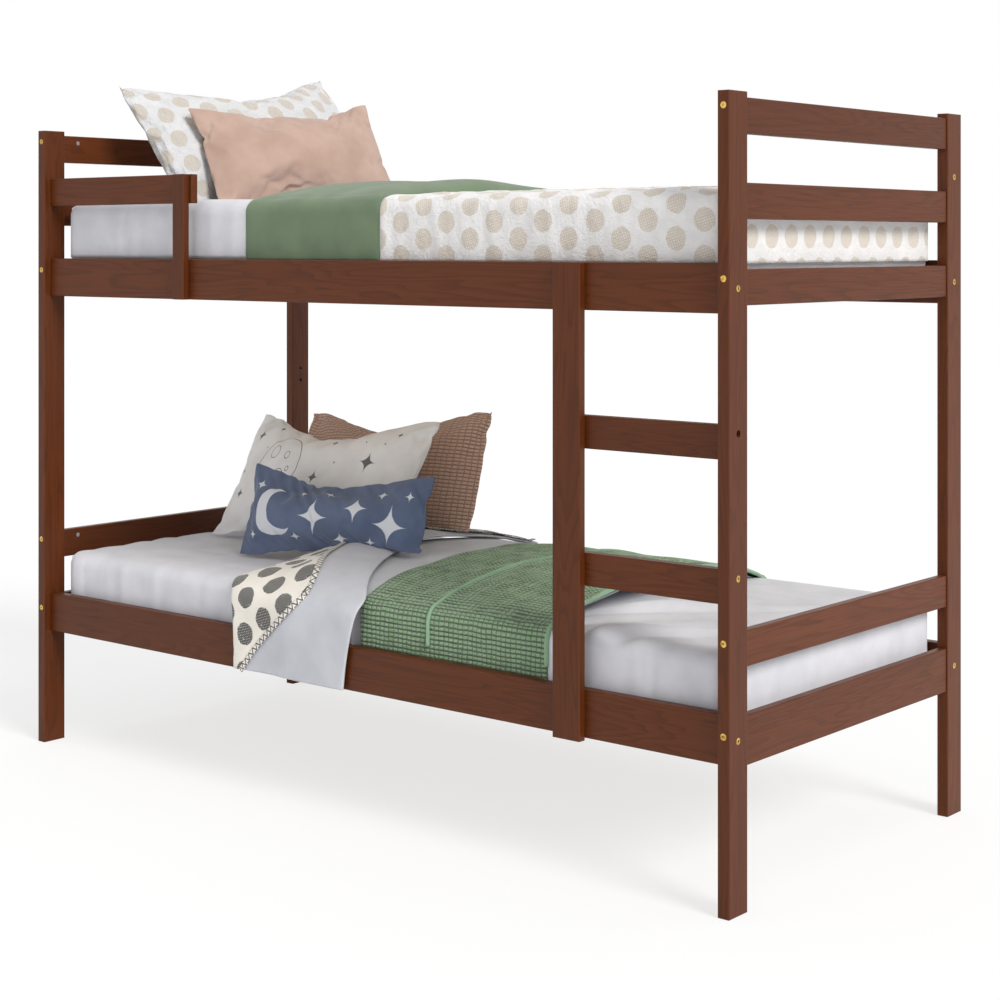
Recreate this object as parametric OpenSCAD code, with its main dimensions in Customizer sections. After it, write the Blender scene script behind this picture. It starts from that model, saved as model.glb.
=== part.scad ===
// Bunk bed with a ladder, two made-up berths and loose pillows.
// The origin is on the floor under the middle of the bed: +X runs to the foot
// end (the ladder side), -Y is the front, +Z is up.

/* [Bed] */
// Length over the posts
bed_length = 1966; // [1956:1:2060]
// Width over the posts
bed_width = 880; // [880:1:960]
// Height of the posts
bed_height = 1460; // [1458:1:1600]

/* [Posts and rails] */
// Thickness of a post along the bed
post_x = 25; // [25:1:32]
// Depth of a post across the bed
post_y = 60; // [60:1:70]
// How far the side rails sit behind the front of the posts
rail_inset = 18; // [18:1:20]
// Thickness of the side rails and the ladder rungs
rail_thick = 25; // [25:1:28]
// Height of a side rail
rail_height = 90; // [90:1:100]
// Underside of the lower side rails above the floor
lower_rail_z = 265; // [240:1:280]
// Underside of the upper side rails above the floor
upper_rail_z = 1065; // [1060:1:1080]
// Thickness of the boards between two posts of one end
end_board_thick = 19; // [18:0.5:20]
// Radius of the eased edges of all the timber
edge_r = 2.5; // [1:0.5:4]

/* [Ladder and guard] */
// Width of the ladder upright
upright_width = 65; // [55:1:80]
// Distance from the foot post to the ladder upright
ladder_clear = 306.5; // [290:0.5:340]
// Height of a rung
rung_height = 62; // [58:1:70]
// Undersides of the two rungs above the floor
rung_z = [549.5, 806];
// Length of the guard board
guard_length = 506; // [450:1:700]
// Height of the guard board
guard_height = 65; // [60:1:80]
// Underside of the guard board above the floor
guard_z = 1280; // [1270:1:1300]
// Width of the slat that carries the free end of the guard
guard_slat_width = 37; // [35:1:50]

/* [Mattress and slats] */
// Length of a mattress with its fitted sheet on
mattress_length = 1880; // [1860:1:1890]
// Width of a mattress with its fitted sheet on
mattress_width = 778; // [760:1:778]
// Height of a mattress with its fitted sheet on
mattress_height = 150; // [140:1:160]
// Radius of the mattress edges
mattress_r = 28; // [20:1:35]
// Number of slats under each mattress
slat_count = 14; // [12:1:15]
// Width of a slat
slat_width = 70; // [60:1:75]
// Thickness of a slat
slat_thick = 15; // [12:1:18]

/* [Hidden] */
$fn = 48;

timber = "#6b3a22";
timber_inside = "#7a452a";
brass = "#b08a3c";
zinc = "#b9bcc0";
birch = "#d8bf94";
linen = "#d9dbe0";
clear = 0.3;

half_l = bed_length / 2;
half_w = bed_width / 2;
post_cx = half_l - post_x / 2;
post_cy = half_w - post_y / 2;
rail_front = half_w - rail_inset;
rail_back = rail_front - rail_thick;
rail_cy = (rail_front + rail_back) / 2;
rail_length = bed_length - 2 * post_x;
rail_end = rail_length / 2;
end_length = bed_width - 2 * post_y;
end_half = end_length / 2;
ladder_x0 = rail_end - ladder_clear - upright_width;
rung_x0 = ladder_x0 + 4;
rail_zs = [lower_rail_z, upper_rail_z];

// Boards of one end from the floor up: underside and height
end_lower_rail = [260, 90];
end_lower_guard = [436, 65];
end_upper_rail = [1079, 65];
end_middle_board = [1233, 65];
end_top_board = [1385, 65];
bolted_end_boards = [end_lower_rail, end_lower_guard, end_upper_rail, end_top_board];

// Furniture bolts, dowels and screws
bolt_hole_d = 7;
bolt_d = 6;
bolt_head_d = 12.4;
bolt_head_h = 3;
head_recess_d = 13;
head_recess_h = 3.4;
deep_recess = 12;
dowel_d = 8;
dowel_hole_d = 8.1;
joint_offset = 16;
side_dowel_offset = 30;
nut_d = 10;
nut_hole_d = 10.2;
nut_setback = 42;
side_nut_length = 18;
end_nut_length = 13;
bolt_past_nut = 7;
side_dowel_in_post = 15;
end_dowel_in_post = 25;
dowel_in_board = 25;
dowel_gap = 1;
screw_d = 4;
screw_hole_d = 4.4;
screw_head_d = 8;
screw_head_h = 4;
screw_head_sink = 0.8;
screw_recess_h = 5.3;
pilot = 12;
guard_thick = 18;
guard_nut_length = 13;
head_gap = 0.3;

// Ledgers and slats: the ledgers sit flush with the lower rails and 30 up the upper rails
ledger_y = 20;
ledger_z = 20;
ledger_gap = 8;
ledger_base = [lower_rail_z, upper_rail_z + 35];
slat_top = [for (z = ledger_base) z + ledger_z + slat_thick];
slat_length = 2 * rail_back - 2;
slat_pitch = (mattress_length - 60 - slat_width) / (slat_count - 1);
// The ledger screws stand midway between slats, clear of the slat screws and of the bolts at the rail ends
ledger_screw_xs = [for (i = [-2 : 2]) (i * floor(410 / slat_pitch) + (slat_count % 2) / 2) * slat_pitch];

// Bedding
sheet_thick = 1.3;
sheet_hem = 12;
bed_top = [for (z = slat_top) z + mattress_height];
mattress_half_w = mattress_width / 2;
mattress_half_l = mattress_length / 2;
tuck_thick = 2.6;
duvet_x0 = -311;
turn_down_x1 = 90;
flap_x0 = -298;
flap_x1 = 38;
lower_duvet_x1 = 526;
throw_x0 = 40;
throw_x1 = 538;
upper_crown = 14;
turn_down_crown = 46;
lower_crown = 52;
throw_crown = 60;
upper_tuck = 118;
lower_tuck = 88;

// The lower duvet's pulled-out end hangs in front of the rail
flap_thick = 10;
flap_off_rail = 1.3;
flap_low = 268;

// Loose pillows: width, height and thickness, the middle of the upper edge, and how each one
// is turned about the upright axis, leaned back and rolled, in degrees
dotted_size = [687, 310, 140];
dotted_top = [-880, 71, bed_top[1] + 304];
dotted_pose = [88.2, 34, -6];
peach_size = [502, 240, 80];
peach_top = [-686, 75, bed_top[1] + 243];
peach_pose = [76, 26, -3.7];
waffle_size = [662, 290, 130];
waffle_top = [-466, 268, bed_top[0] + 303];
waffle_pose = [-5.7, 20, -4];
moon_size = [688, 330, 120];
moon_top = [-504, 128, bed_top[0] + 307];
moon_pose = [-8.6, 31, -2.3];
navy_size = [555, 205, 75];
navy_top = [-290, -110, bed_top[0] + 213];
navy_pose = [1.5, 15.5, -0.7];

// ---- shapes that repeat ----

// Rectangle with round corners, made of exact arcs
module eased_rect(size, r) {
    union() {
        square([size[0], size[1] - 2 * r], center = true);
        square([size[0] - 2 * r, size[1]], center = true);
        for (sx = [-1, 1], sy = [-1, 1])
            translate([sx * (size[0] / 2 - r), sy * (size[1] / 2 - r)]) circle(r = r);
    }
}

// Box with all its edges rounded, centred
module eased_box(size, r) {
    x = size[0];
    y = size[1];
    z = size[2];
    intersection() {
        translate([0, 0, -z / 2]) linear_extrude(z) eased_rect([x, y], r);
        rotate([90, 0, 0]) translate([0, 0, -y / 2]) linear_extrude(y) eased_rect([x, z], r);
        rotate([90, 0, 90]) translate([0, 0, -x / 2]) linear_extrude(x) eased_rect([y, z], r);
    }
}

// Timber between two corners
module timber_between(a, b) {
    translate((a + b) / 2) eased_box([b[0] - a[0], b[1] - a[1], b[2] - a[2]], edge_r);
}

// Round bar along an axis: 0 is X, 1 is Y, 2 is Z
module bar(axis, length, d) {
    turn = axis == 0 ? [0, 90, 0] : axis == 1 ? [-90, 0, 0] : [0, 0, 0];
    rotate(turn) cylinder(h = length, d = d);
}

// Furniture bolt along +X from its head's outer face, with a hex socket
module bolt(length) {
    difference() {
        union() {
            bar(0, bolt_head_h, bolt_head_d);
            bar(0, length, bolt_d);
        }
        translate([-1, 0, 0]) rotate([0, 90, 0]) cylinder(h = 3, d = 4.6, $fn = 6);
    }
}

// Hole for a bolt along +X through a post, with a recess for the head
module bolt_hole(length, recess) {
    translate([-1, 0, 0]) bar(0, length + 2, bolt_hole_d);
    translate([-1, 0, 0]) bar(0, recess + 1, head_recess_d);
}

// Countersunk screw along +X from its head's outer face
module screw(length) {
    rotate([0, 90, 0]) union() {
        cylinder(h = screw_head_h, d1 = screw_head_d, d2 = screw_d);
        cylinder(h = length, d = screw_d);
    }
}

// Clearance for a screw along +X, with a flat recess for its head
module screw_hole(length) {
    translate([-1, 0, 0]) bar(0, length + 2, screw_hole_d);
    translate([-1, 0, 0]) bar(0, screw_recess_h, screw_head_d + 0.6);
}

// Places its children with +X turned to point along the given direction of X or Y
module facing(dir) {
    rotate([0, 0, atan2(dir[1], dir[0])]) children();
}

// ---- posts ----

// One post with all its holes. sx and sy say which corner it stands in.
// side_bolts lists [height, recess] along the bed, and side_dowels the blind holes beside them.
module post(sx, sy, side_bolts, side_dowels) {
    color(timber) difference() {
        translate([sx * post_cx, sy * post_cy, bed_height / 2])
            eased_box([post_x, post_y, bed_height], edge_r);
        for (board = bolted_end_boards)
            translate([sx * post_cx, sy * half_w, mid(board) + joint_offset])
                facing([0, -sy]) bolt_hole(post_y, head_recess_h);
        for (z = end_dowel_heights())
            translate([sx * post_cx, sy * (half_w - post_y), z])
                facing([0, sy]) translate([-1, 0, 0]) bar(0, end_dowel_in_post + 1 + dowel_gap, dowel_hole_d);
        for (bolt_at = side_bolts)
            translate([sx * half_l, sy * post_cy, bolt_at[0]])
                facing([-sx, 0]) bolt_hole(post_x, bolt_at[1]);
        for (z = side_dowels)
            translate([sx * rail_end, sy * post_cy, z])
                facing([sx, 0]) translate([-1, 0, 0])
                    bar(0, side_dowel_in_post + 1 + dowel_gap, dowel_hole_d);
    }
}

function mid(board) = board[0] + board[1] / 2;
function end_dowel_heights() = [
    for (board = bolted_end_boards) mid(board) - joint_offset,
    mid(end_middle_board) - joint_offset,
    mid(end_middle_board) + joint_offset
];
function rail_bolts() = [for (z = rail_zs) [z + rail_height / 2, head_recess_h]];
function rail_dowels() = [for (z = rail_zs, s = [-1, 1]) z + rail_height / 2 + s * side_dowel_offset];
function rung_mid(i) = rung_z[i] + rung_height / 2;
function guard_mid() = guard_z + guard_height / 2;
// The upper rung's bolt sits deep in its hole, so the mouth of the hole stays open
function rung_bolt_z(i) = rung_mid(i) + joint_offset;
function rung_bolt_rows() = [[rung_bolt_z(0), head_recess_h], [rung_bolt_z(1), deep_recess]];
function rung_dowels() = [for (i = [0, 1]) rung_mid(i) - joint_offset];
function guard_bolt_rows() = [[guard_mid() + joint_offset, head_recess_h]];
function guard_dowels() = [guard_mid() - joint_offset];

// Diagonally opposite posts are the same part turned round, so the back left one has open rung holes
module guard_post(sx, sy)
    post(sx, sy, concat(rail_bolts(), guard_bolt_rows()), concat(rail_dowels(), guard_dowels()));
module rung_post(sx, sy)
    post(sx, sy, concat(rail_bolts(), rung_bolt_rows()), concat(rail_dowels(), rung_dowels()));

module front_left_post() guard_post(-1, -1);
module back_right_post() guard_post(1, 1);
module front_right_post() rung_post(1, -1);
module back_left_post() rung_post(-1, 1);

// ---- boards ----

// Holes in the end of a board along the bed: bolt, barrel nut and dowels
module side_end_holes(sx, sy, bolt_z, dowel_zs) {
    translate([sx * rail_end, sy * post_cy, bolt_z]) {
        facing([-sx, 0]) translate([-1, 0, 0]) bar(0, nut_setback + bolt_past_nut + 4, bolt_hole_d);
        translate([-sx * nut_setback, 0, 0]) side_nut_hole(sy);
    }
    for (z = dowel_zs)
        translate([sx * rail_end, sy * post_cy, z])
            facing([-sx, 0]) translate([-1, 0, 0]) bar(0, dowel_in_board + 1 + dowel_gap, dowel_hole_d);
}

// Cross hole for a barrel nut, open at the inner face of the rail
module side_nut_hole(sy) {
    translate([0, sy * (rail_back - post_cy - 1), 0]) facing([0, sy]) bar(0, side_nut_length + 2, nut_hole_d);
}

module side_rail(sy, z, front_screws) {
    color(timber) difference() {
        translate([0, sy * rail_cy, z + rail_height / 2])
            eased_box([rail_length, rail_thick, rail_height], edge_r);
        for (sx = [-1, 1])
            side_end_holes(sx, sy, z + rail_height / 2,
                           [for (s = [-1, 1]) z + rail_height / 2 + s * side_dowel_offset]);
        for (at = front_screws)
            translate([at[0], sy * rail_back, at[1]]) facing([0, sy]) screw_hole(rail_thick);
        for (x = ledger_screw_xs)
            translate([x, sy * (rail_back - 1), ledger_screw_z(z)]) facing([0, sy]) bar(0, 19, screw_hole_d);
    }
}

function ledger_screw_z(z) = ledger_base[z == lower_rail_z ? 0 : 1] + ledger_z / 2;

// Screws of the ladder upright and the guard slat: [x, z] at each board that they cross
function crossing(x, z, h) = [[x, z + h / 2 - 18], [x, z + h / 2 + 18]];
upright_cx = ladder_x0 + upright_width / 2;
slat_cx = -rail_end + guard_length - 8 - guard_slat_width / 2;

module upper_front_side_rail()
    side_rail(-1, upper_rail_z,
              [for (x = [upright_cx, slat_cx]) each crossing(x, upper_rail_z, rail_height)]);
module upper_back_side_rail() side_rail(1, upper_rail_z, []);
module lower_front_side_rail() side_rail(-1, lower_rail_z, crossing(upright_cx, lower_rail_z, rail_height));
module lower_back_side_rail() side_rail(1, lower_rail_z, []);

// Inner face of an end board, where its barrel nuts go in
function end_nut_face(sx) = sx * (post_cx - end_board_thick / 2);

// Board between the two posts of an end
module end_board(sx, board, bolted) {
    dowel_zs = [for (s = bolted ? [-1] : [-1, 1]) mid(board) + s * joint_offset];
    color(timber) difference() {
        timber_between([sx * post_cx - end_board_thick / 2, -end_half, board[0]],
                       [sx * post_cx + end_board_thick / 2, end_half, board[0] + board[1]]);
        for (sy = [-1, 1]) {
            if (bolted) {
                translate([sx * post_cx, sy * (end_half + 1), mid(board) + joint_offset])
                    facing([0, -sy]) bar(0, nut_setback + bolt_past_nut + 5, bolt_hole_d);
                translate([end_nut_face(sx), sy * (end_half - nut_setback), mid(board) + joint_offset])
                    facing([sx, 0]) translate([-1, 0, 0]) bar(0, end_nut_length + 2, nut_hole_d);
            }
            for (z = dowel_zs)
                translate([sx * post_cx, sy * (end_half + 1), z])
                    facing([0, -sy]) bar(0, dowel_in_board + 1 + dowel_gap, dowel_hole_d);
        }
    }
}

module head_top_board() end_board(-1, end_top_board, true);
module head_middle_board() end_board(-1, end_middle_board, false);
module head_upper_rail() end_board(-1, end_upper_rail, true);
module head_lower_guard() end_board(-1, end_lower_guard, true);
module head_lower_rail() end_board(-1, end_lower_rail, true);
module foot_top_board() end_board(1, end_top_board, true);
module foot_middle_board() end_board(1, end_middle_board, false);
module foot_upper_rail() end_board(1, end_upper_rail, true);
module foot_lower_guard() end_board(1, end_lower_guard, true);
module foot_lower_rail() end_board(1, end_lower_rail, true);

// ---- ladder and guard ----

module upright_pilots(rows) {
    for (at = rows)
        translate([at[0], -rail_front + 1, at[1]]) facing([0, -1]) bar(0, pilot + 1, screw_hole_d);
}

function ladder_rows() = concat(
    crossing(upright_cx, upper_rail_z, rail_height), crossing(upright_cx, lower_rail_z, rail_height),
    crossing(upright_cx, rung_z[0], rung_height), crossing(upright_cx, rung_z[1], rung_height));
function guard_rows() = concat(
    crossing(slat_cx, upper_rail_z, rail_height), crossing(slat_cx, guard_z, guard_height));

module ladder_upright() {
    color(timber) difference() {
        timber_between([ladder_x0, -half_w, lower_rail_z - 5],
                       [ladder_x0 + upright_width, -rail_front, upper_rail_z + rail_height]);
        upright_pilots(ladder_rows());
    }
}

module rung(i) {
    color(timber) difference() {
        timber_between([rung_x0, -rail_front, rung_z[i]], [rail_end, -rail_back, rung_z[i] + rung_height]);
        side_end_holes(1, -1, rung_mid(i) + joint_offset, [rung_mid(i) - joint_offset]);
        for (at = crossing(upright_cx, rung_z[i], rung_height))
            translate([at[0], -rail_back, at[1]]) facing([0, -1]) screw_hole(rail_thick);
    }
}

module lower_rung() rung(0);
module upper_rung() rung(1);

module guard_board() {
    color(timber) difference() {
        timber_between([-rail_end, -rail_front, guard_z],
                       [-rail_end + guard_length, -rail_front + guard_thick, guard_z + guard_height]);
        translate([-rail_end - 1, -post_cy, 0]) {
            translate([0, 0, guard_mid() + joint_offset])
                bar(0, nut_setback + bolt_past_nut + 5, bolt_hole_d);
            translate([0, 0, guard_mid() - joint_offset])
                bar(0, dowel_in_board + 1 + dowel_gap, dowel_hole_d);
        }
        translate([-rail_end + nut_setback, guard_thick + 1 - rail_front, guard_mid() + joint_offset])
            facing([0, -1]) bar(0, guard_nut_length + 3, nut_hole_d);
        for (at = crossing(slat_cx, guard_z, guard_height))
            translate([at[0], -rail_front + guard_thick, at[1]]) facing([0, -1]) screw_hole(guard_thick);
    }
}

module guard_slat() {
    color(timber) difference() {
        timber_between([slat_cx - guard_slat_width / 2, -half_w, upper_rail_z],
                       [slat_cx + guard_slat_width / 2, -rail_front, guard_z + guard_height]);
        upright_pilots(guard_rows());
    }
}

// ---- slats and their ledgers ----

module ledger(sy, level) {
    z = ledger_base[level];
    color(timber_inside) difference() {
        translate([0, sy * (rail_back - ledger_y / 2), z + ledger_z / 2])
            eased_box([rail_length - 2 * ledger_gap, ledger_y, ledger_z], edge_r);
        for (x = ledger_screw_xs)
            translate([x, sy * (rail_back - ledger_y), z + ledger_z / 2])
                facing([0, sy]) screw_hole(ledger_y);
        for (i = [0 : slat_count - 1])
            translate([slat_x(i), sy * (rail_back - ledger_y / 2), z + ledger_z + 1]) rotate([0, 90, 0])
                bar(0, 11, screw_d + 0.2);
    }
}

function slat_x(i) = (i - (slat_count - 1) / 2) * slat_pitch;

module slat_set(level) {
    z = slat_top[level] - slat_thick;
    color(birch) for (i = [0 : slat_count - 1]) difference() {
        translate([slat_x(i), 0, z + slat_thick / 2])
            eased_box([slat_width, slat_length, slat_thick], edge_r);
        for (sy = [-1, 1])
            translate([slat_x(i), sy * (rail_back - ledger_y / 2), slat_top[level]])
                rotate([0, 90, 0]) screw_hole(slat_thick);
    }
}

module upper_front_ledger() ledger(-1, 1);
module upper_back_ledger() ledger(1, 1);
module lower_front_ledger() ledger(-1, 0);
module lower_back_ledger() ledger(1, 0);
module upper_slats() slat_set(1);
module lower_slats() slat_set(0);

// ---- fasteners ----

module end_bolts() {
    color(brass) for (sx = [-1, 1], sy = [-1, 1], board = bolted_end_boards)
        translate([sx * post_cx, sy * (half_w - head_gap), mid(board) + joint_offset])
            facing([0, -sy]) bolt(post_y + nut_setback + bolt_past_nut);
}

module side_rail_bolts() {
    color(brass) for (sx = [-1, 1], sy = [-1, 1], z = rail_zs)
        translate([sx * (half_l - head_gap), sy * post_cy, z + rail_height / 2])
            facing([-sx, 0]) bolt(post_x + nut_setback + bolt_past_nut);
}

module rung_bolts() {
    length = post_x + nut_setback + bolt_past_nut;
    sunk = [head_gap, deep_recess - bolt_head_h];
    color(brass) for (i = [0, 1])
        translate([half_l - sunk[i], -post_cy, rung_bolt_z(i)]) facing([-1, 0]) bolt(length - sunk[i]);
}

// The guard's bolt, and the short one that closes the same hole in the opposite post
module guard_bolts() {
    z = guard_mid() + joint_offset;
    color(brass) {
        translate([-half_l + head_gap, -post_cy, z]) bolt(post_x + nut_setback + bolt_past_nut);
        translate([half_l - head_gap, post_cy, z]) facing([-1, 0]) bolt(post_x - 2);
    }
}

// Barrel nut centred on its own length along an axis, 0 for X or 1 for Y, with its thread across it at
// shift from its middle
module barrel_nut(axis, length, shift) {
    along = axis == 0 ? [1, 0, 0] : [0, 1, 0];
    across = [1, 1, 0] - along;
    difference() {
        translate(-along * length / 2) bar(axis, length, nut_d);
        translate(along * shift - across * nut_d) bar(1 - axis, 2 * nut_d, bolt_d + 0.1);
    }
}

nut_clear = 0.5;
side_nut_y = rail_back + side_nut_length / 2 + nut_clear;
guard_nut_y = rail_front - guard_thick + guard_nut_length / 2 + nut_clear;
end_nut_x = post_cx - end_board_thick / 2 + end_nut_length / 2 + nut_clear;

module side_barrel_nuts() {
    nut_x = rail_end - nut_setback;
    color(zinc) {
        for (sx = [-1, 1], sy = [-1, 1], z = rail_zs)
            translate([sx * nut_x, sy * side_nut_y, z + rail_height / 2])
                barrel_nut(1, side_nut_length, sy * (post_cy - side_nut_y));
        for (i = [0, 1])
            translate([nut_x, -side_nut_y, rung_bolt_z(i)])
                barrel_nut(1, side_nut_length, side_nut_y - post_cy);
        translate([-nut_x, -guard_nut_y, guard_mid() + joint_offset])
            barrel_nut(1, guard_nut_length, guard_nut_y - post_cy);
    }
}

module end_barrel_nuts() {
    color(zinc) for (sx = [-1, 1], sy = [-1, 1], board = bolted_end_boards)
        translate([sx * end_nut_x, sy * (end_half - nut_setback), mid(board) + joint_offset])
            barrel_nut(0, end_nut_length, sx * (post_cx - end_nut_x));
}

module end_dowels() {
    color(birch) for (sx = [-1, 1], sy = [-1, 1], z = end_dowel_heights())
        translate([sx * post_cx, sy * (end_half - dowel_in_board), z])
            facing([0, sy]) bar(0, dowel_in_board + end_dowel_in_post, dowel_d);
}

module side_dowels() {
    length = dowel_in_board + side_dowel_in_post;
    color(birch) {
        for (sx = [-1, 1], sy = [-1, 1], z = rail_dowels())
            translate([sx * (rail_end - dowel_in_board), sy * post_cy, z])
                facing([sx, 0]) bar(0, length, dowel_d);
        for (z = rung_dowels())
            translate([rail_end - dowel_in_board, -post_cy, z]) bar(0, length, dowel_d);
        for (z = guard_dowels())
            translate([-rail_end + dowel_in_board, -post_cy, z]) facing([-1, 0]) bar(0, length, dowel_d);
    }
}

module ladder_screws() {
    color(zinc) for (at = ladder_rows())
        front_screw(at, -rail_back, rail_thick);
}

module guard_screws() {
    color(zinc) {
        for (at = crossing(slat_cx, upper_rail_z, rail_height)) front_screw(at, -rail_back, rail_thick);
        for (at = crossing(slat_cx, guard_z, guard_height))
            front_screw(at, guard_thick - rail_front, guard_thick);
    }
}

// Screw driven forwards from a board's inner face at y, through its thickness and into the upright
module front_screw(at, y, thickness) {
    translate([at[0], y - screw_head_sink, at[1]]) facing([0, -1]) screw(thickness + pilot - 3);
}

module ledger_screws() {
    color(zinc) for (sy = [-1, 1], level = [0, 1], x = ledger_screw_xs)
        translate([x, sy * (rail_back - ledger_y + screw_head_sink), ledger_base[level] + ledger_z / 2])
            facing([0, sy]) screw(ledger_y + 14);
}

module slat_screws() {
    color(zinc) for (sy = [-1, 1], level = [0, 1], i = [0 : slat_count - 1])
        translate([slat_x(i), sy * (rail_back - ledger_y / 2), slat_top[level] - screw_head_sink])
            rotate([0, 90, 0]) screw(slat_thick + 8);
}

// ---- mattresses and sheets ----

// Block with a mattress's size and round edges, drawn in by inset all round and standing on z
module berth_block(z, inset) {
    translate([0, 0, z + mattress_height / 2])
        eased_box([mattress_length - 2 * inset, mattress_width - 2 * inset, mattress_height - 2 * inset],
                  mattress_r - inset);
}

module mattress(level) {
    color(linen) berth_block(slat_top[level], sheet_thick + clear);
}

// Fitted sheet: a thin cover over the top and sides that ends near the mattress's lower edge
module fitted_sheet(level) {
    z = slat_top[level];
    color(linen) difference() {
        berth_block(z, clear / 2);
        berth_block(z, clear / 2 + sheet_thick);
        translate([-mattress_half_l - 1, -mattress_half_w - 1, z - 1])
            cube([mattress_length + 2, mattress_width + 2, sheet_hem + 1]);
    }
}

module upper_mattress() mattress(1);
module upper_fitted_sheet() fitted_sheet(1);
module lower_mattress() mattress(0);
module lower_fitted_sheet() fitted_sheet(0);

// ---- duvets and the throw ----

// Outline over the mattress from the back edge to the front: a shoulder, a crown and a shoulder again
function crown_over(half, base, rise, steps = 14, shoulder = 5) = concat(
    [for (i = [0 : shoulder]) let (a = 90 * i / shoulder)
        [half - mattress_r + mattress_r * cos(a), base - mattress_r + mattress_r * sin(a)]],
    [for (i = [1 : steps - 1]) let (flat = half - mattress_r, y = flat - 2 * flat * i / steps)
        [y, base + rise * pow(1 - pow(y / flat, 2), 0.6)]],
    [for (i = [shoulder : -1 : 0]) let (a = 90 * i / shoulder)
        [mattress_r - half - mattress_r * cos(a), base - mattress_r + mattress_r * sin(a)]]
);

// A cover across the bed from x0 to x1, with a skirt tucked down each side. gap is how far it sits
// outside the sheet, the two rises are those of its underside and its top, and low is where the skirts end.
module tucked_cover(x0, x1, base, rises, gap, low, front_skirt = true) {
    inner = mattress_half_w + gap;
    outer = inner + tuck_thick;
    under = crown_over(inner, base + gap, rises[0]);
    front_low = front_skirt ? low : base - mattress_r;
    translate([x0, 0, 0]) rotate([90, 0, 90]) linear_extrude(x1 - x0) polygon(concat(
        [[inner, low], [outer, low]],
        crown_over(outer, base + gap + tuck_thick, rises[1]),
        [[-outer, front_low], [-inner, front_low]],
        [for (i = [len(under) - 1 : -1 : 0]) under[i]]
    ));
}

// The duvet's head end is turned back over itself
module upper_duvet() {
    low = bed_top[1] - upper_tuck;
    color("#e6e4e0") union() {
        tucked_cover(duvet_x0, mattress_half_l - 6, bed_top[1], [0, upper_crown], clear, low);
        tucked_cover(duvet_x0, turn_down_x1, bed_top[1], [upper_crown, turn_down_crown],
                     clear + tuck_thick, low);
    }
}

// The duvet is tucked in under the throw. Its head end lies flat and hangs over the front rail.
module lower_duvet() {
    low = bed_top[0] - lower_tuck;
    side = mattress_half_w + clear;
    back = rail_front + flap_off_rail;
    front = back + flap_thick;
    color("#c9ccd2") union() {
        tucked_cover(flap_x1, lower_duvet_x1, bed_top[0], [0, lower_crown], clear, low);
        tucked_cover(flap_x0, flap_x1, bed_top[0], [0, 0], clear, low, false);
        translate([flap_x0, 0, 0]) rotate([90, 0, 90]) linear_extrude(flap_x1 - flap_x0) polygon([
            [-side, bed_top[0] - 26], [-back, bed_top[0] - 70], [-back, flap_low], [-front, flap_low],
            [-front, bed_top[0] - 66], [-front + 18, bed_top[0] - 30], [-side - 6, bed_top[0] - 10],
            [-side, bed_top[0] - 10]
        ]);
    }
}

module green_throw() {
    color("#5f7d57") tucked_cover(throw_x0, throw_x1, bed_top[0], [lower_crown + clear, throw_crown],
                                  2 * clear + tuck_thick, bed_top[0] - lower_tuck);
}

// ---- pillows ----

cushion_seam = 3;
cushion_pinch = 0.07;

function cushion_point(w, h, t, u, v, side) = [
    w / 2 * u * (1 - cushion_pinch * (1 - v * v)),
    side * (cushion_seam + (t / 2 - cushion_seam) * pow((1 - u * u) * (1 - v * v), 0.5)),
    h / 2 * v * (1 - cushion_pinch * (1 - u * u))
];

// Filled cushion: width along X, height along Z, thickness along Y, with its sides pulled in
module cushion(w, h, t, nu = 12, nv = 10) {
    row = nv + 1;
    count = (nu + 1) * row;
    points = [for (side = [-1, 1], i = [0 : nu], j = [0 : nv])
        cushion_point(w, h, t, sin(90 * (2 * i / nu - 1)), sin(90 * (2 * j / nv - 1)), side)];
    cells = [for (i = [0 : nu - 1], j = [0 : nv - 1]) i * row + j];
    front = [for (k = cells) each [[k, k + 1, k + row + 1], [k, k + row + 1, k + row]]];
    rim = concat(
        [for (i = [0 : nu - 1]) i * row], [for (j = [0 : nv - 1]) nu * row + j],
        [for (i = [nu : -1 : 1]) i * row + nv], [for (j = [nv : -1 : 1]) j]);
    edge = [for (k = [0 : len(rim) - 1]) [rim[k], rim[(k + 1) % len(rim)]]];
    polyhedron(points = points, faces = concat(
        front,
        [for (f = front) [count + f[2], count + f[1], count + f[0]]],
        [for (e = edge) each [[e[0], e[1], count + e[1]], [e[0], count + e[1], count + e[0]]]]
    ));
}

// Hangs a cushion from the middle of its upper edge, turned, leaned back and rolled
module leaning_cushion(size, top, pose) {
    translate(top) rotate([0, 0, pose[0]]) rotate([-pose[1], 0, 0]) rotate([0, pose[2], 0])
        translate([0, 0, -size[1] / 2]) cushion(size[0], size[1], size[2]);
}

module dotted_pillow() color("#e4dfd6") leaning_cushion(dotted_size, dotted_top, dotted_pose);
module peach_cushion() color("#c79f8b") leaning_cushion(peach_size, peach_top, peach_pose);
module waffle_pillow() color("#a9776a") leaning_cushion(waffle_size, waffle_top, waffle_pose);
module moon_pillow() color("#e2e2e2") leaning_cushion(moon_size, moon_top, moon_pose);
module navy_cushion() color("#4d5568") leaning_cushion(navy_size, navy_top, navy_pose);

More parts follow.
